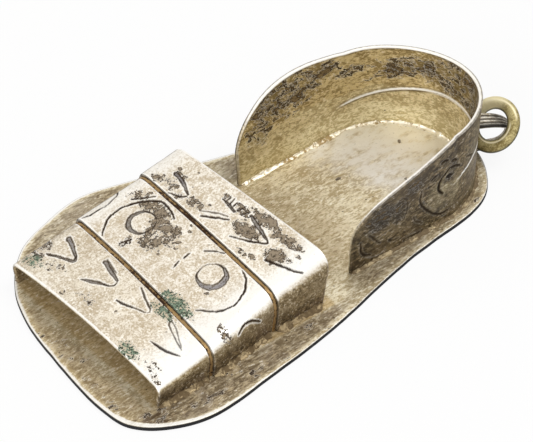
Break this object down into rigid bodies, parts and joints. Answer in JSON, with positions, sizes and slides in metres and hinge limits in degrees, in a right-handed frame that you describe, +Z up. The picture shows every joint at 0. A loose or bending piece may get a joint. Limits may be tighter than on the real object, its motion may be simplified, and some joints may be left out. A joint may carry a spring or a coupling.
{
  "type": "sandal pendant",
  "caption": "Small open-toed sandal made of sheet metal, with shingled straps, a wrap-around heel counter and a loose jump ring in an eye at the heel, worn as a pendant or charm.",
  "frame": {"origin": "on the sole's flat underside, halfway between the toe and the back of the heel, on the line that the heel counter is symmetric about", "axes": "+X to the heel, +Y to the outer side of the foot, +Z up from the sole"},
  "size_m": [0.0533, 0.0313, 0.01],
  "materials": {
    "silver_sheet": "hand-worked silver alloy sheet, worn bright on top and warm grey-tan with tarnish in the corners",
    "dark_silver_sheet": "the same sheet with a heavy dark grey-brown tarnish and engraved lines",
    "brass_wire": "smooth olive-gold wire with a soft shine"
  },
  "bodies": {
    "pendant": {"sole_plate": "silver_sheet", "front_strap": "silver_sheet", "middle_strap": "silver_sheet", "rear_strap": "silver_sheet", "heel_counter": "dark_silver_sheet", "hanging_eye": "dark_silver_sheet"},
    "ring": {"jump_ring": "brass_wire"}
  },
  "joints": [
    {"name": "ring_swing", "type": "hinge", "parent": "pendant", "child": "ring", "pos_m": [0.02467, -0.00251, 0.00172], "axis": [0.4107, 0.9118, 0], "range_deg": [-45, 14]}
  ]
}
